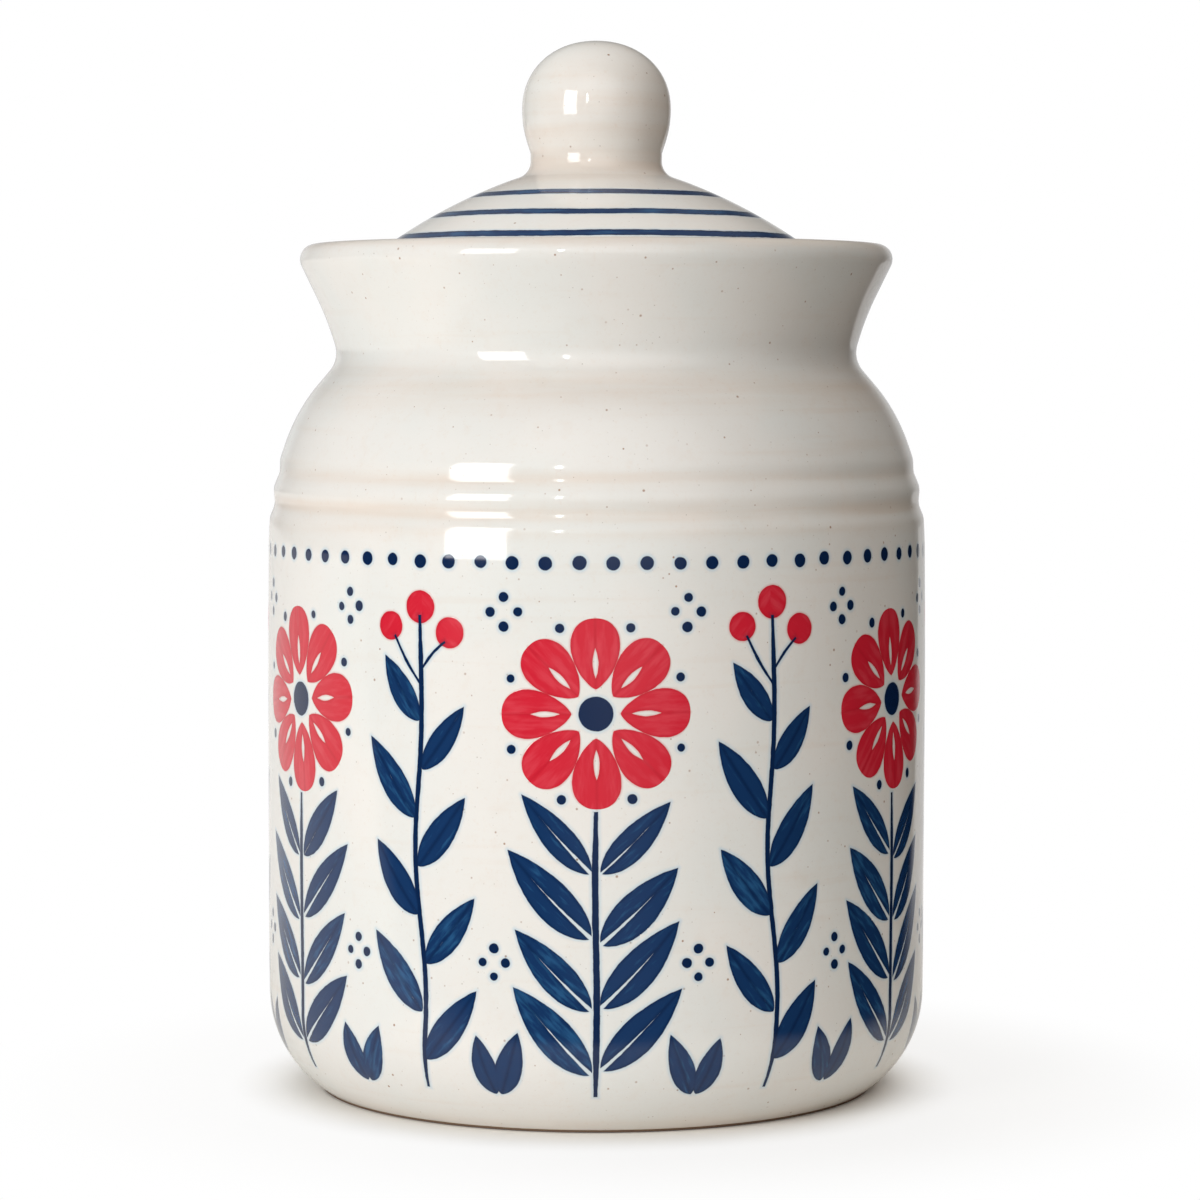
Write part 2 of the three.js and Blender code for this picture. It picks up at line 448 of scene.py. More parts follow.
jar = {
    "columns": 304,
    "rowStep": 1.1,                            # mm between rows outside
    "insideStep": 5.0,                         # and inside and under the base
    "sway": 0.1,                               # mm, how far hand work leaves the true circle
    "corners": {                               # inset from the wall, height, fillet
        "baseMiddle": (bodyRadius, 2.5, 0),
        "footRecess": (18.4, 2.5, 1.2),
        "footInside": (17.2, 0, 0.4),
        "footOutside": (10.2, 0, 0.15),
        "footTop": (10.2, 0.35, 0.15),
        "baseCorner": (0.25, 7.2, 23.5),
        "wallFoot": (0, 26.0, 100),
        "wallMiddle": (0, 59.0, 0),
        "wallTaper": (0, 82.0, 100),
        "wallUpper": (0.2, 107.2, 30),
        "wallTop": (0.42, 112.4, 4),
        "lowerGroove": (1.5, 115.05, 4),
        "bead": (1.2, 118.3, 4),
        "upperGroove": (2.45, 121.25, 2.8),
        "shoulderEdge": (2.56, 123.95, 4.5),
        "shoulder": (4.4, 129.3, 40),
        "upperShoulder": (7.45, 135.3, 36),
        "neck": (14.33, 143.43, 5.5),
        "knee": (11.9, 151.5, 60),
        "rimOutside": (5.0, rimHeight, 3),
        "rimInside": (10.99, rimHeight, 1.8),
        "ledgeOutside": (16.21, 155.0, 1),
        "ledgeInside": (20.71, 155.0, 1),
        "throat": (20.71, 142.54, 5),
        "insideShoulder": (5.2, 123.48, 18),
        "insideFloor": (5.2, 8.0, 11),
        "floorMiddle": (bodyRadius, 8.0, 0),
    },
    "thinBands": (                             # where the glaze runs thin: how much, height, width
        (0.75, rimHeight - 0.3, 1.2),
        (0.55, 138.5, 3.8),
        (0.6, 121.4, 1.3),
        (0.75, 115.5, 1.7),
        (0.35, 111.8, 1.2),
        (0.5, 1.5, 1.6),
    ),
    "bareFoot": (47.2, 55.0),                  # radii of the foot's bare clay
    "contactShadeFrom": 54.6,                         # from here out its edge is darkened as painted contact shade
    "bareLedge": (44.0, 49.0),
}


def jarOutline():
    corners = [(bodyRadius - inset, height, fillet) for inset, height, fillet in jar["corners"].values()]
    fine = roundedLine(corners, jar["rowStep"])
    plain = roundedLine(corners, jar["insideStep"])
    foot = min(range(len(fine)), key=lambda i: fine[i][1])
    crest, plainCrest = (max(range(len(line)), key=lambda i: line[i][1]) for line in (fine, plain))
    under = cutRows(fine[:foot + 1], jar["insideStep"])
    outside = under + cutRows(fine[foot:crest + 1], jar["rowStep"])[1:]
    return outside, cutRows(plain[plainCrest:], jar["insideStep"])


def bell(value, middle, width):
    return np.exp(-((value - middle) / width) ** 2)


def thinness(bands, height):
    return sum(amount * bell(height, middle, width) for amount, middle, width in bands)


def makeJar():
    outside, inside = jarOutline()
    outline = outside + inside[1:]
    isOutside = np.arange(len(outline)) < len(outside)

    def sway(angle, rows):
        # none at the foot and the rim, where other things fit
        height = rows[:, 1:]
        keep = isOutside[1:-1, None] * np.clip((height - 3) / 20, 0, 1) * np.clip((164 - height) / 10, 0, 1)
        swell = np.sin(2 * angle + 0.6) + 0.6 * np.sin(3 * angle + height / 30)
        swell = swell + 0.3 * np.sin(5 * angle - height / 17)
        return jar["sway"] * keep * swell

    turned = Turned("paintedJar", outline, jar["columns"], sway)
    radius, height = turned.outline.T
    thinInside = 0.12 + 0.6 * bell(height, rimHeight, 1.5)
    turned.pointValues("thinGlaze", np.where(isOutside, thinness(jar["thinBands"], height), thinInside))

    def between(limits):
        return (radius > limits[0]) & (radius < limits[1])

    foot = (height < 0.4) & between(jar["bareFoot"])
    # the foot's outer edge, which gets painted contact shade
    edge = foot & (radius > jar["contactShadeFrom"])
    ledgeHeight = jar["corners"]["ledgeOutside"][1]
    ledge = ~isOutside & (abs(height - ledgeHeight) < 0.15) & between(jar["bareLedge"])
    turned.pointValues("bareClayAndShade", (foot | ledge) + 1.0 * edge)    # 2 where painted contact shade darkens it
    turned.unwrap(np.where(isOutside, 3.0, 1.0))
    return turned, isOutside


jarTurned, jarOutside = makeJar()
print("jar turned:", len(jarTurned.mesh.polygons), "faces")

# Frieze painted on the jar's wall: u runs round it, v up it, both in millimetres

frieze = {
    "seed": 11,
    "repeats": 6,
    "painted": (1, 112),                       # lowest and highest v
    "flowerHeight": 79.0,
    "flowerRadius": 17.5,
    "petals": 8,
    "petalWidth": 4.55,                        # half the width of a petal
    "petalForm": (2.21, 0.75, 0.45),           # fullness, how sharp the root is and how sharp the tip
    "heartRadius": 3.2,
    "leafRows": (13.0, 25.0, 37.0, 49.0),
    "leafForm": (3.08, 0.7, 0.95),
    "leafSize": (21.0, 3.5),                   # length, half width
    "leafLean": 47,                            # degrees
    "sprigLeaf": (17.0, 2.9),
    "sprigLean": 40,
    "sproutLeaf": (12.5, 2.5),
    "sproutLean": 22,
    "sproutPlace": 19.0,                       # from the flower's stem
    "diamondHeight": 97.5,
    "stemWidth": 0.62,                         # half widths
    "stalkWidth": 0.4,
    "dotRadius": 1.25,
    "borderHeight": 106.5,
    "borderDots": 66,
    "edge": 0.07,                              # mm, softness of a painted edge
    "navy": shade(22, 54, 98),
    "navyDeep": shade(9, 28, 64),
    "navyWash": shade(42, 92, 138),
    "bloom": (0.70, 0.84, 0.96, 1.0),          # blue bleeding into the glaze beside a stroke
    "red": shade(212, 36, 56),
    "redPale": shade(222, 74, 88),
    "redDeep": shade(188, 24, 42),
    "redRelief": 0.03,                         # mm that the red stands proud
}
around = 2 * math.pi * bodyRadius
hand = random.Random(frieze["seed"])
leftLeaves, rightLeaves, stems, stalks = [], [], [], []
dots, berries, flowers = [], [], []


def vary(amount):
    return hand.uniform(-amount, amount)


def paintLeaf(u, v, lean, size):
    length, halfWidth = size
    length *= 1 + vary(0.06)
    halfWidth *= 1 + vary(0.07)
    curl = math.copysign(1.0, -lean) * (1.3 + vary(0.5)) * length / 20
    leaves = leftLeaves if lean < 0 else rightLeaves
    leaves.append((u, v, math.radians(lean + vary(3.0)), length, halfWidth, curl, hand.random()))


def paintLine(lines, points, halfWidth):
    # a smooth stroke through a few points
    points = np.array(points, float)
    t = np.linspace(0, len(points) - 1, 14 * (len(points) - 1) + 1)
    knots = np.arange(len(points))
    smooth = np.stack([np.interp(t, knots, points[:, i]) for i in (0, 1)], -1)
    for _ in range(40):
        smooth[1:-1] = (smooth[:-2] + 2 * smooth[1:-1] + smooth[2:]) / 4
    lines.append((smooth, halfWidth))


def paintFlower(u):
    height = frieze["flowerHeight"]
    size = 1 + vary(0.03)
    turn = math.radians(vary(5.0))
    flowers.append((u, height, turn, size, hand.random()))
    step = 2 * math.pi / frieze["petals"]
    for i in range(frieze["petals"]):
        way = turn + (i + 0.5) * step
        reach = frieze["flowerRadius"] * size * 0.97
        dots.append((u + reach * math.cos(way), height + reach * math.sin(way), 0.85 + vary(0.12)))


def paintPlant(u):
    paintFlower(u)
    top = frieze["flowerHeight"] - frieze["flowerRadius"] - 0.4
    lean = vary(1.0)
    line = [(u + lean * 0.3, 7.5), (u - lean * 0.6, 26), (u + lean * 0.6, 46), (u, top)]
    paintLine(stems, line, frieze["stemWidth"])
    for v in frieze["leafRows"]:
        share = 1.0 if v < 45 else 0.88
        size = (frieze["leafSize"][0] * share, frieze["leafSize"][1] * share)
        for side in (-1, 1):
            paintLeaf(u + side * 0.9, v + vary(0.8), side * frieze["leafLean"], size)


def paintSprig(u):
    sway = 1.8 * (1 if hand.random() < 0.5 else -1)
    line = [(u, 8), (u + sway, 28), (u - sway, 52), (u + 0.4 * sway, 74), (u, 96.5)]
    paintLine(stems, line, frieze["stemWidth"] * 0.85)
    for i in range(8):
        v = 14 + 9 * i
        side = -1 if i % 2 else 1
        middle = np.interp(v, [p[1] for p in line], [p[0] for p in line])
        share = 1.0 if i < 6 else 0.84
        size = (frieze["sprigLeaf"][0] * share, frieze["sprigLeaf"][1] * share)
        paintLeaf(middle * 0.6 + u * 0.4 + side * 0.5, v, side * frieze["sprigLean"], size)
    # the middle berry sits on the stem, the others on stalks that fork from it
    for across, up, radius, fork in ((0, 98.5, 3.1, 0), (-6.4, 94.2, 2.8, 84.0), (6.4, 93.4, 2.8, 86.0)):
        across += vary(0.4)
        up += vary(0.5)
        berries.append((u + across, up, radius + vary(0.15)))
        if fork:
            stalk = [(u, fork), (u + across * 0.45, fork + 3.8), (u + across * 0.86, up - radius * 0.6)]
            paintLine(stalks, stalk, frieze["stalkWidth"])


def paintSprout(u):
    for side in (-1, 1):
        paintLeaf(u + side * 0.5, 7.6, side * frieze["sproutLean"], frieze["sproutLeaf"])
    for across, up in ((0, 30.4), (0, 35.6), (-2.2, 33.0), (2.2, 33.0)):
        dots.append((u + across, up, 0.85 + vary(0.1)))


def paintDiamond(u, v):
    for across, up in ((0, 2.6), (0, -2.6), (-2.5, 0), (2.5, 0)):
        dots.append((u + across + vary(0.15), v + up + vary(0.15), 0.92 + vary(0.1)))


def paintFrieze():
    pitch = around / frieze["repeats"]
    for i in range(frieze["repeats"]):
        u = i * pitch
        paintPlant(u)
        paintSprig(u + pitch / 2)
        for side in (-1, 1):
            paintSprout(u + side * frieze["sproutPlace"])
            paintDiamond(u + side * pitch / 4, frieze["diamondHeight"])
    for i in range(frieze["borderDots"]):
        u = around * (i + 0.5) / frieze["borderDots"]
        dots.append((u + vary(0.2), frieze["borderHeight"] + vary(0.15), frieze["dotRadius"] + vary(0.12)))


def wallCorners():
    # faces of the wall, with u and v at their four corners; v equals height where the wall is straight
    rows, cols = jarTurned.squares
    height = jarTurned.outline[:, 1]
    middle = np.flatnonzero(jarOutside & (height > 58))[0]
    v = height[middle] + jarTurned.run - jarTurned.run[middle]
    low, high = frieze["painted"]
    chosen = np.flatnonzero(jarOutside[rows].all(1) & (v[rows].min(1) > low) & (v[rows].max(1) < high))
    return chosen, bodyRadius * jarTurned.angleOf(cols[chosen]), v[rows[chosen]]


def nearest(u, v, starts, gapTo):
    # for each face the motif it is closest to, and u brought to that motif's side of the seam
    best = np.full(len(u), np.inf)
    index = np.zeros(len(u), int)
    shift = np.zeros(len(u))
    middleU, middleV = u.mean(1), v.mean(1)
    for i, start in enumerate(starts):
        turn = np.round((middleU - start) / around) * around
        gap = gapTo(i, middleU - turn, middleV)
        closer = gap < best
        best[closer] = gap[closer]
        index[closer] = i
        shift[closer] = turn[closer]
    return index, u - shift[:, None]


def alongLeaf(leaf, u, v):
    along = (u - leaf[0]) * np.sin(leaf[2]) + (v - leaf[1]) * np.cos(leaf[2])
    across = (u - leaf[0]) * np.cos(leaf[2]) - (v - leaf[1]) * np.sin(leaf[2])
    return along, across


def leafVectors(name, leaves, faces, u, v):
    def gapTo(i, midU, midV):
        along, across = alongLeaf(leaves[i], midU, midV)
        length, halfWidth, curl = leaves[i][3:6]
        fullness, root, tip = frieze["leafForm"]
        s = np.clip(along / length, 0, 1)
        reach = halfWidth * fullness * s ** root * (1 - s) ** tip
        return np.hypot(across - curl * s * s, along - s * length) - reach

    index, nearU = nearest(u, v, [leaf[0] for leaf in leaves], gapTo)
    chosen = np.array(leaves)[index].T[:, :, None]
    along, across = alongLeaf(chosen, nearU, v)
    spread = np.ones_like(nearU)
    place = np.stack((along, across, chosen[6] * spread), -1)
    size = np.stack((chosen[3] * spread, chosen[4] * spread, chosen[5] * spread), -1)
    jarTurned.cornerVectors(name + "Spot", faces, place, (-99, 99, 0))
    jarTurned.cornerVectors(name + "Size", faces, size, (1, 1, 0))


def roundVectors(name, rounds, faces, u, v):
    def gapTo(i, midU, midV):
        return np.hypot(midU - rounds[i][0], midV - rounds[i][1]) - rounds[i][2]

    index, nearU = nearest(u, v, [r[0] for r in rounds], gapTo)
    chosen = np.array(rounds)[index].T[:, :, None]
    spread = np.ones_like(nearU)
    values = np.stack((nearU - chosen[0], v - chosen[1], chosen[2] * spread), -1)
    jarTurned.cornerVectors(name + "Spot", faces, values, (99, 99, 1))


def flowerVectors(faces, u, v):
    def gapTo(i, midU, midV):
        return np.hypot(midU - flowers[i][0], midV - flowers[i][1])

    index, nearU = nearest(u, v, [f[0] for f in flowers], gapTo)
    chosen = np.array(flowers)[index].T[:, :, None]
    x, y = nearU - chosen[0], v - chosen[1]
    cosine, sine = np.cos(chosen[2]) / chosen[3], np.sin(chosen[2]) / chosen[3]
    spread = np.ones_like(nearU)
    values = np.stack((x * cosine + y * sine, y * cosine - x * sine, chosen[4] * spread), -1)
    jarTurned.cornerVectors("flowerSpot", faces, values, (99, 99, 0))


def alongLine(points, u, v):
    # signed distance from a stroke, and how far beyond its ends a place lies
    step = np.diff(points, axis=0)
    size = np.linalg.norm(step, axis=1)
    du = u[..., None] - points[:-1, 0]
    dv = v[..., None] - points[:-1, 1]
    along = (du * step[:, 0] + dv * step[:, 1]) / size
    across = (du * step[:, 1] - dv * step[:, 0]) / size
    low, high = np.zeros(len(size)), size.copy()
    low[0], high[-1] = -np.inf, np.inf
    off = np.hypot(across, along - np.clip(along, low, high))
    pick = off.argmin(-1)[..., None]
    run = np.concatenate(((0.0,), np.cumsum(size)))
    along = np.take_along_axis(along + run[:-1], pick, -1)[..., 0]
    return np.take_along_axis(across, pick, -1)[..., 0], np.maximum(-along, along - run[-1])


def lineVectors(name, lines, faces, u, v):
    def gapTo(i, midU, midV):
        across, beyond = alongLine(lines[i][0], midU, midV)
        return np.hypot(across, np.maximum(beyond, 0))

    index, nearU = nearest(u, v, [line[0][:, 0].mean() for line in lines], gapTo)
    values = np.zeros(u.shape + (3,))
    for i, (points, halfWidth) in enumerate(lines):
        mine = index == i
        across, beyond = alongLine(points, nearU[mine], v[mine])
        values[mine] = np.stack((across, beyond, np.full_like(across, halfWidth)), -1)
    jarTurned.cornerVectors(name + "Spot", faces, values, (99, 99, 0))


paintFrieze()
wall = wallCorners()
leafVectors("leftLeaf", leftLeaves, *wall)
leafVectors("rightLeaf", rightLeaves, *wall)
lineVectors("stem", stems, *wall)
lineVectors("stalk", stalks, *wall)
roundVectors("dot", dots, *wall)
roundVectors("berry", berries, *wall)
flowerVectors(*wall)
print("frieze laid out:", len(leftLeaves) + len(rightLeaves), "leaves,", len(dots), "dots")


def leafStroke(pot, name):
    # gap to the leaf's edge, negative inside, and a streak value along the brush
    along, across, tone = pot.spot(name + "Spot")
    length, halfWidth, curl = pot.spot(name + "Size")
    fullness, root, tip = frieze["leafForm"]
    s = pot.clip(along / length)
    t = abs(across - curl * s * s)
    past = pot.most(-along, along - length, 0.0)
    over = t - halfWidth * fullness * s ** root * (1.0 - s) ** tip
    gap = pot.root(pot.most(over, 0.0) ** 2 + past * past) + pot.least(over, 0.0)
    rib = (0.74 - s) * 0.62 * pot.fade(length, 17.8, 18.6) - 0.08 - t    # only large leaves have one
    streak = pot.cloud(pot.vector(along * 0.22, across * 1.1, tone * 90), 1.0, 3.0)
    return pot.most(gap, rib), streak, tone


def lineStroke(pot, name):
    across, beyond, halfWidth = pot.spot(name + "Spot")
    taper = pot.fade(beyond, -9.0, 0.0, 1.0, 0.6)
    return pot.most(abs(across) - halfWidth * taper, beyond)


def roundStroke(pot, name):
    x, y, radius = pot.spot(name + "Spot")
    return pot.root(x * x + y * y) - radius


def flowerStroke(pot):
    # gaps to the petals and to the heart of the flower
    x, y, tone = pot.spot("flowerSpot")
    reach = pot.root(x * x + y * y)
    turn = pot.sum("ARCTAN2", y, x)
    step = 2 * math.pi / frieze["petals"]
    petal = pot.sum("ROUND", turn / step)
    local = turn - petal * step
    along = reach * pot.sum("COSINE", local)
    across = abs(reach * pot.sum("SINE", local))
    inner = frieze["heartRadius"] + 1.3
    outer = frieze["flowerRadius"]
    fullness, root, tip = frieze["petalForm"]
    s = pot.clip((along - inner) / (outer - inner))
    past = pot.most(inner - along, along - outer, 0.0)
    over = across - frieze["petalWidth"] * fullness * s ** root * (1.0 - s) ** tip
    gap = pot.root(pot.most(over, 0.0) ** 2 + past * past) + pot.least(over, 0.0)
    slit = pot.clip((s - 0.14) / 0.46)
    gap = pot.most(gap, slit * (1.0 - slit) * 2.6 - 0.12 - across)
    streak = pot.cloud(pot.vector(along * 0.16, across * 0.7, tone * 70 + petal * 5), 1.0, 3.0)
    return gap, reach - frieze["heartRadius"], streak


def jarFinish():
    pot = Pot("jarGlaze")
    place = pot.place()
    colour, rough, height = glazeCoat(pot, place, glaze["white"], glaze["cool"])
    shake = (pot.cloud(place, 1.6, 2.0) - 0.5) * 0.22
    left, leftStreak, leftTone = leafStroke(pot, "leftLeaf")
    right, rightStreak, rightTone = leafStroke(pot, "rightLeaf")
    petals, heart, petalStreak = flowerStroke(pot)
    berry = roundStroke(pot, "berry")
    fine = pot.least(roundStroke(pot, "dot"), heart, lineStroke(pot, "stem"), lineStroke(pot, "stalk"))
    leaf = pot.least(left, right)
    blue = pot.least(leaf, fine) + shake
    red = pot.least(petals, berry) + shake

    # red first, then the navy over it
    soft = frieze["edge"]
    redCover = pot.fade(red, soft, -soft)
    redWash = pot.fade(petalStreak, 0.42, 0.72) * 0.55
    redCoat = pot.mix(redWash, frieze["red"], frieze["redPale"])
    redCoat = pot.mix(pot.fade(red, -0.7, 0.0) * 0.45, redCoat, frieze["redDeep"])
    colour = pot.tinted(pot.fade(red, 0.5, 0.0) * 0.3, colour, frieze["redPale"])
    colour = pot.mix(redCover, colour, redCoat)

    isRight = pot.fade(left - right, -0.01, 0.01)
    streak = leftStreak + (rightStreak - leftStreak) * isRight
    tone = leftTone + (rightTone - leftTone) * isRight
    isLeaf = pot.fade(fine - leaf, -0.1, 0.1)
    wash = pot.fade(streak + (tone - 0.5) * 0.22, 0.5, 0.78) * isLeaf
    blueCoat = pot.mix(wash * 0.8, frieze["navy"], frieze["navyWash"])
    pool = pot.most(pot.fade(blue, -0.75, 0.0) * 0.55, 0.7 - isLeaf * 0.7)
    blueCoat = pot.mix(pool, blueCoat, frieze["navyDeep"])
    blueCover = pot.fade(blue, soft, -soft)
    colour = pot.tinted(pot.fade(blue, 1.1, 0.0) ** 2 * 0.8, colour, frieze["bloom"])
    colour = pot.mix(blueCover, colour, blueCoat)

    height = height + redCover * frieze["redRelief"] * (pot.cloud(place, 1.1, 2.0) * 0.5 + 0.75)
    rough = rough + redCover * 0.07
    colour, rough, height = bareClayAndShade(pot, place, colour, rough, height)
    return pot.surface(colour, rough, pot.bump(height))


jarPiece = jarTurned.piece
jarPiece.data.materials.append(jarFinish())
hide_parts("jar_body")
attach(jarPiece, "jar")
print("jar glazed and painted")

# Lid with its knob, stuck together in the clay and glazed as one

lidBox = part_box("lid")
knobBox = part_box("lid_knob")
knobFoot = knobBox[0].z / mm
knobTop = knobBox[1].z / mm
knobRadius = knobBox[1].x / mm
flangeRadius = lidBox[1].x / mm
skirtBottom = lidBox[0].z / mm

lid = {
    "columns": 256,
    "rowStep": 0.8,
    "insideStep": 4.0,
    "sway": 0.07,
    "seat": 155.3,                             # height of the flange's underside
    "edgeTop": 160.4,
    "crown": (12.95, 179.85, 3.4),             # where the dome meets the knob's neck
    "underCrown": (8.3, 175.45, 1.2),
    "skirt": (43.69, 39.89),                   # outer and inner radius
    "domeBow": 104.0,
    "knobWall": 4.5,
    "knobWaist": 9.9,
    "knobNeck": 12.8,
    "knobFullness": 2.12,                      # 2 would be a true ellipse
    "thinBands": ((0.55, 180.5, 3.2), (0.35, 190, 12)),
    "stripes": (24.3, 32.2, 39.1),             # radii of the painted lines
    "stripeWidth": (1.05, 0.92, 0.85),         # half widths along the dome
}


def knobSide(neck, widest, top):
    # from the foot up to the axis: a curved waist, then a quarter of a full ellipse
    waist = lid["knobWaist"]
    middle = knobFoot + waist
    ends = [np.array(p, float) for p in ((neck, knobFoot), (neck, knobFoot + 0.2 * waist),
                                         (widest, middle - 0.55 * waist), (widest, middle))]
    side = []
    for t in np.linspace(0, 1, 16):
        weights = ((1 - t) ** 3, 3 * t * (1 - t) ** 2, 3 * t * t * (1 - t), t ** 3)
        side.append(sum(w * p for w, p in zip(weights, ends)))
    full = 2 / lid["knobFullness"]
    for t in np.linspace(0, math.pi / 2, 30)[1:]:
        rise = (top - middle) * math.sin(t) ** full
        side.append(np.array((widest * abs(math.cos(t)) ** full, middle + rise)))
    side[-1][0] = 0.0
    return [(p[0], p[1], 0) for p in side]


def lidOutline():
    wall = lid["knobWall"]
    seat = lid["seat"]
    skirtOutside, skirtInside = lid["skirt"]
    edge = (flangeRadius, lid["edgeTop"])
    underEdge = (skirtInside, lid["edgeTop"])
    corners = knobSide(lid["knobNeck"] - wall, knobRadius - wall, knobTop - wall)[::-1]
    corners += [lid["underCrown"]]
    corners += bowedLine(underEdge, lid["underCrown"][:2], lid["domeBow"], 12)[::-1]
    corners += [(*underEdge, 2.8), (skirtInside, skirtBottom, 1.4), (skirtOutside, skirtBottom, 1.4)]
    corners += [(skirtOutside, seat, 1), (flangeRadius, seat, 1.5), (*edge, 1.5)]
    corners += bowedLine(edge, lid["crown"][:2], lid["domeBow"], 24)[:-2]
    corners += [lid["crown"]]
    corners += knobSide(lid["knobNeck"], knobRadius, knobTop)[3:]
    plain = roundedLine(corners, lid["insideStep"])
    fine = roundedLine(corners, lid["rowStep"])
    # the inside ends where the flange's edge begins
    plainSplit, split = (next(i for i, p in enumerate(line) if p[0] > flangeRadius - 1e-6)
                         for line in (plain, fine))
    return cutRows(plain[:plainSplit + 1], lid["insideStep"]), cutRows(fine[split:], lid["rowStep"])


def makeLid():
    inside, outside = lidOutline()
    outline = inside + outside[1:]
    isOutside = np.arange(len(outline)) >= len(inside)

    def sway(angle, rows):
        radius, height = rows[:, :1], rows[:, 1:]
        keep = isOutside[1:-1, None] * np.clip((height - 162) / 8, 0, 1) * np.clip(radius / 10, 0, 1)
        return lid["sway"] * keep * (np.sin(2 * angle + 2.0) + 0.6 * np.sin(3 * angle + height / 9))

    turned = Turned("lidWithKnob", outline, lid["columns"], sway)
    radius, height = turned.outline.T
    turned.pointValues("thinGlaze", np.where(isOutside, thinness(lid["thinBands"], height), 0.12))
    seat = abs(height - lid["seat"]) < 0.12
    seat = seat & (radius < flangeRadius - 1.2) & (radius > lid["skirt"][0] + 0.8)
    turned.pointValues("bareClayAndShade", seat.astype(float))
    dome = isOutside & (height > lid["edgeTop"] - 1) & (height < lid["crown"][1] + 3)
    turned.pointValues("domeRadius", np.where(dome, radius, 0.0))
    turned.unwrap(np.where(isOutside, 3.0, 1.0))
    return turned


def stripeGap(pot, place):
    # gap to the nearest painted line, with a hand's wobble
    radius = pot.value("domeRadius")
    wander = (pot.cloud(place, 17.0, 1.0) - 0.5) * 0.7
    shake = (pot.cloud(place, 2.2, 2.0) - 0.5) * 0.3
    gaps = [abs(radius - line + wander) - half for line, half in zip(lid["stripes"], lid["stripeWidth"])]
    return pot.least(*gaps) + shake


def lidFinish():
    pot = Pot("lidGlaze")
    place = pot.place()
    # the whiter lid glaze: partly its own tone, partly painted light on the upward-facing lid and knob
    colour, rough, height = glazeCoat(pot, place, glaze["lidWhiteBrightened"], glaze["lidCoolBrightened"])
    gap = stripeGap(pot, place)
    soft = frieze["edge"]
    streak = pot.cloud(pot.stretched(place, (0.35, 0.35, 2.5)), 3.0, 3.0)
    coat = pot.mix(pot.fade(streak, 0.42, 0.66) * 0.75, frieze["navy"], frieze["navyWash"])
    coat = pot.mix(pot.fade(gap, -0.65, -0.05) * 0.6, coat, frieze["navyDeep"])
    colour = pot.tinted(pot.fade(gap, 0.9, 0.0) ** 2 * 0.7, colour, frieze["bloom"])
    colour = pot.mix(pot.fade(gap, soft, -soft), colour, coat)
    colour, rough, height = bareClayAndShade(pot, place, colour, rough, height)
    return pot.surface(colour, rough, pot.bump(height))


lidTurned = makeLid()
lidPiece = lidTurned.piece
lidPiece.data.materials.append(lidFinish())
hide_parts("lid", "lid_knob")
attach(lidPiece, "lid")
print("lid turned and glazed:", len(lidTurned.mesh.polygons), "faces")

# Stage: a sweep of white paper, a white backdrop and soft lamps

stage = {
    "sweepFront": -0.5,                        # metres; the dim room begins there
    "sweepSize": 4.0,
    "sweepDrop": 0.0001,                       # below the jar's foot
    "unmirrored": (0.1, 0.16),                 # this far to the front or right the glaze shows the dim room
    "paper": (0.9, 0.88, 0.84, 1.0),
    "shadedPaper": (0.2, 0.19, 0.18, 1.0),       # painted shade: darker paper on the right keeps that side of the jar in shade and darkens the paper there
    "shadedPaperFrom": (0.07, 0.2),
    "footShade": (0.053, 0.074),               # metres from the axis, where the shade at the foot clears
    "clearFrom": (-0.06, 0.08),                # left and right
    "clearShare": (0.9, 0.76),                 # how far it clears there
    "whiteBy": 0.13,
    # soft lights: strength, where each hangs and the cosine at which it has faded out
    "overhead": (1.75, (0.1, 0.4, 0.91), 0.7),
    "overheadHidden": 0.85,                    # share that the glaze doesn't mirror
    "front": (1.32, (0.1, -0.86, 0.5), 0.7),
    "leftRear": (0.37, (-0.66, 0.66, 0.34), 0.7),
    "softTint": (1.0, 0.975, 0.94, 1.0),
    "fill": (0.13, (0.93, -0.16, 0.34), 0.7),  # warm light from the right
    "fillTint": (1.0, 0.6, 0.3, 1.0),
    "behindShine": 0.6,                        # the backdrop seen in the glaze
    "paperShine": (0.0, 0.3),                  # metres behind the axis over which it begins on the paper
    "skyShine": (0.82, 0.97),                  # and the same in the sky, by direction
    "lowShine": (0.3, 0.08, 0.25),             # weaker above the horizon
}


def hangLamp(name, bearing, distance, height, size, watts, tip=0.0, lights=True, mirrored=True):
    # bearing in degrees left of the camera's side, tip in degrees down towards the jar
    light = bpy.data.lights.new(name, "AREA")
    light.shape = "RECTANGLE"
    light.size, light.size_y = size
    light.energy = watts
    lamp = bpy.data.objects.new(name, light)
    turn = math.radians(bearing)
    lamp.location = (-distance * math.sin(turn), -distance * math.cos(turn), height)
    lamp.rotation_euler = (math.radians(90 - tip), 0, -turn)
    lamp.visible_diffuse = lights
    lamp.visible_glossy = mirrored
    bpy.context.scene.collection.objects.link(lamp)


def seenRays(pot):
    # camera rays, and the rays that carry the backdrop into mirrors and glass
    path = pot.node("LightPath")
    camera, mirror, glass = (Wire(pot, path.outputs[name]) for name in
                             ("Is Camera Ray", "Is Glossy Ray", "Is Transmission Ray"))
    return camera, pot.most(mirror, glass)


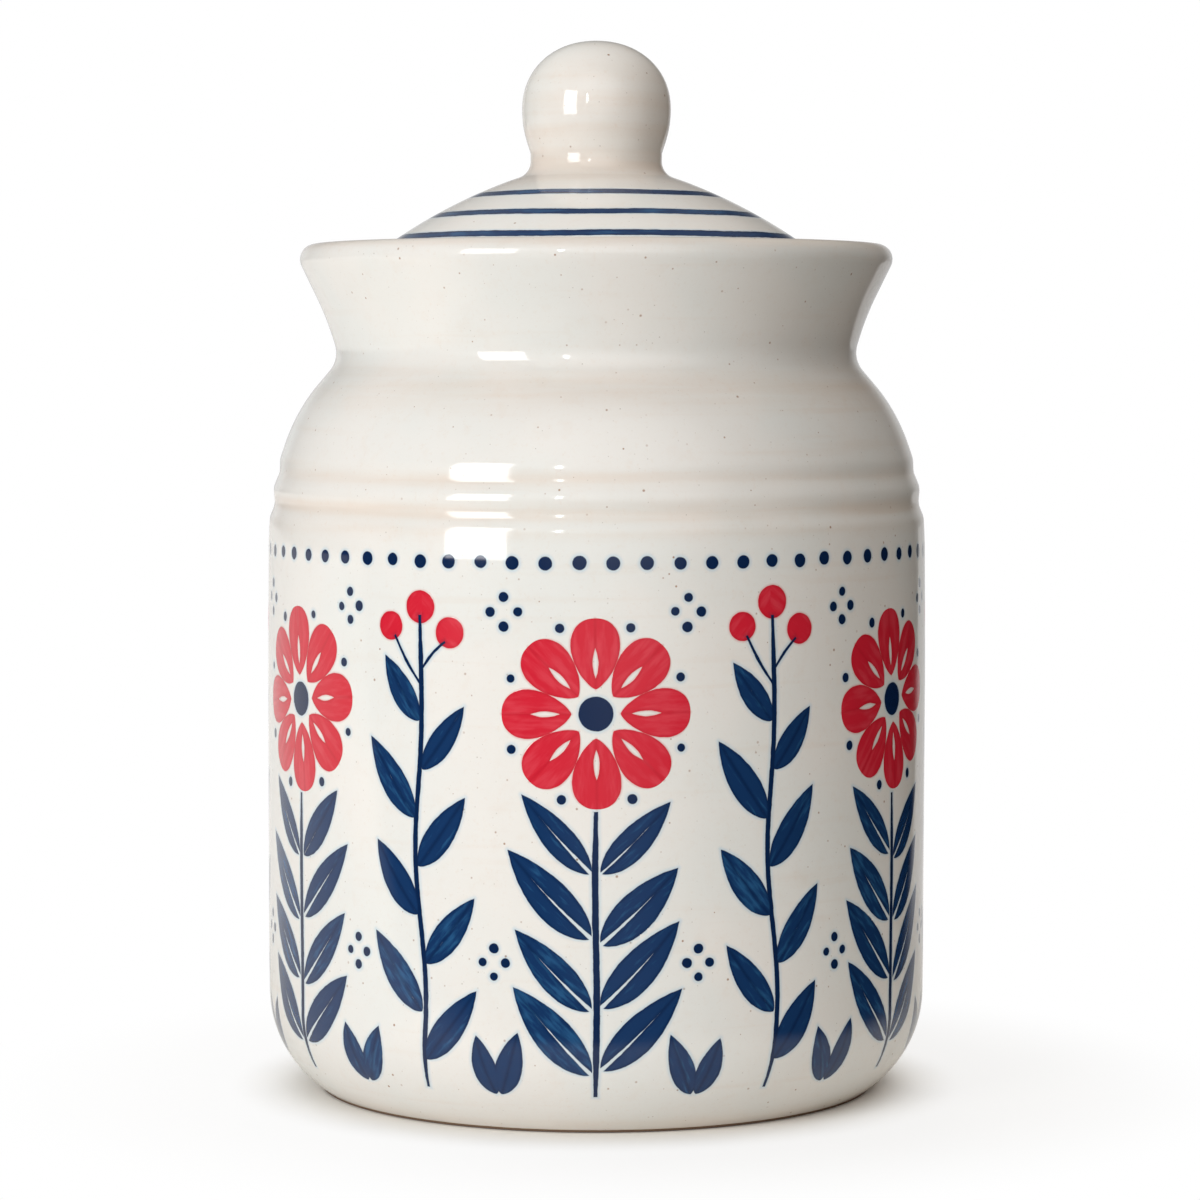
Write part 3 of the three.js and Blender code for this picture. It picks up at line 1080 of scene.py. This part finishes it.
def makeSweep():
    half = stage["sweepSize"]
    front = stage["sweepFront"]
    mesh = bpy.data.meshes.new("sweep")
    corners = [(-half, front, 0), (half, front, 0), (half, half, 0), (-half, half, 0)]
    mesh.from_pydata(corners, [], [(0, 1, 2, 3)])
    sweep = bpy.data.objects.new("sweep", mesh)
    bpy.context.scene.collection.objects.link(sweep)
    sweep.location.z = -stage["sweepDrop"]
    pot = Pot("sweepPaper")
    camera, mirror = seenRays(pot)
    coords = pot.node("TexCoord")
    reach = pot.node("VectorMath", operation="LENGTH")
    pot.links.new(coords.outputs["Object"], reach.inputs[0])
    parts = pot.node("SeparateXYZ")
    pot.links.new(coords.outputs["Object"], parts.inputs[0])
    gap = Wire(pot, reach.outputs["Value"])
    right, depth = (Wire(pot, socket) for socket in parts.outputs[:2])
    # near the foot the lit paper shows with its shadow; to the right less of it clears, so the darker paper
    # there shows as painted shade
    share = pot.fade(right, *stage["clearFrom"], *stage["clearShare"])
    far = pot.fade(gap, *stage["footShade"]) * share
    far = far + pot.fade(gap, stage["footShade"][1], stage["whiteBy"]) * (1.0 - share)
    dim = pot.fade(pot.most(right - depth * 0.5, -depth), *stage["unmirrored"])
    behind = pot.fade(depth, *stage["paperShine"])
    paper = pot.node("BsdfDiffuse")
    # paper darkened to the right as painted shade
    dark = pot.fade(right, *stage["shadedPaperFrom"])
    pot.join(pot.mix(dark, stage["paper"], stage["shadedPaper"]), paper.inputs["Color"])
    plain = pot.node("Emission")
    plain.inputs["Strength"].default_value = 1.0
    both = pot.node("MixShader")
    pot.join(far * pot.most(camera, mirror * behind * stage["behindShine"]), both.inputs[0])
    pot.links.new(paper.outputs[0], both.inputs[1])
    pot.links.new(plain.outputs[0], both.inputs[2])
    unseen = pot.node("MixShader")
    pot.join(mirror * dim, unseen.inputs[0])
    pot.links.new(both.outputs[0], unseen.inputs[1])
    pot.links.new(pot.node("BsdfTransparent").outputs[0], unseen.inputs[2])
    output = pot.node("OutputMaterial")
    pot.links.new(unseen.outputs[0], output.inputs[0])
    mesh.materials.append(pot.material)


class WorldPot(Pot):
    def __init__(self, name):
        self.world = bpy.data.worlds.new(name)
        self.world.use_nodes = True
        self.nodes = self.world.node_tree.nodes
        self.links = self.world.node_tree.links
        self.nodes.clear()
        bpy.context.scene.world = self.world


def makeBackdrop():
    pot = WorldPot("backdrop")
    camera, mirror = seenRays(pot)
    coords = pot.node("TexCoord")
    parts = pot.node("SeparateXYZ")
    pot.links.new(coords.outputs["Generated"], parts.inputs[0])

    def softLight(strength, way, reach):
        aim = pot.node("VectorMath", operation="DOT_PRODUCT")
        pot.links.new(coords.outputs["Generated"], aim.inputs[0])
        aim.inputs[1].default_value = way
        return pot.fade(Wire(pot, aim.outputs["Value"]), reach, 1.0) * strength

    fill = softLight(*stage["fill"]) * (1.0 - mirror)
    depth, rise = (Wire(pot, socket) for socket in parts.outputs[1:])
    shine = pot.fade(depth, *stage["skyShine"]) * pot.fade(rise, *stage["lowShine"])
    shine = shine * mirror * stage["behindShine"]
    overhead = softLight(*stage["overhead"]) * (1.0 - mirror * stage["overheadHidden"])
    soft = overhead + softLight(*stage["front"]) + softLight(*stage["leftRear"])
    level = soft + fill + shine
    tint = pot.mix(fill / pot.most(level, 0.001), stage["softTint"], stage["fillTint"])
    sky = pot.node("Background")
    pot.join(pot.mix(pot.most(camera, mirror), tint, (1.0, 1.0, 1.0, 1.0)), sky.inputs["Color"])
    pot.join(pot.most(level, camera), sky.inputs["Strength"])
    output = pot.node("OutputWorld")
    pot.links.new(sky.outputs[0], output.inputs[0])


makeSweep()
makeBackdrop()
hangLamp("keyPanel", bearing=40.5, distance=1.0, height=0.38, size=(0.38, 0.56), watts=5.9)
hangLamp("sideStrip", bearing=12.8, distance=1.0, height=0.43, size=(0.035, 0.24), watts=0.6, lights=False)
hangLamp("backPanel", bearing=180.0, distance=1.1, height=0.45, size=(0.3, 0.7), watts=1.6, tip=15.0,
         mirrored=False)
bpy.context.scene.view_settings.view_transform = "Standard"
print("stage set")

print("scene ready")
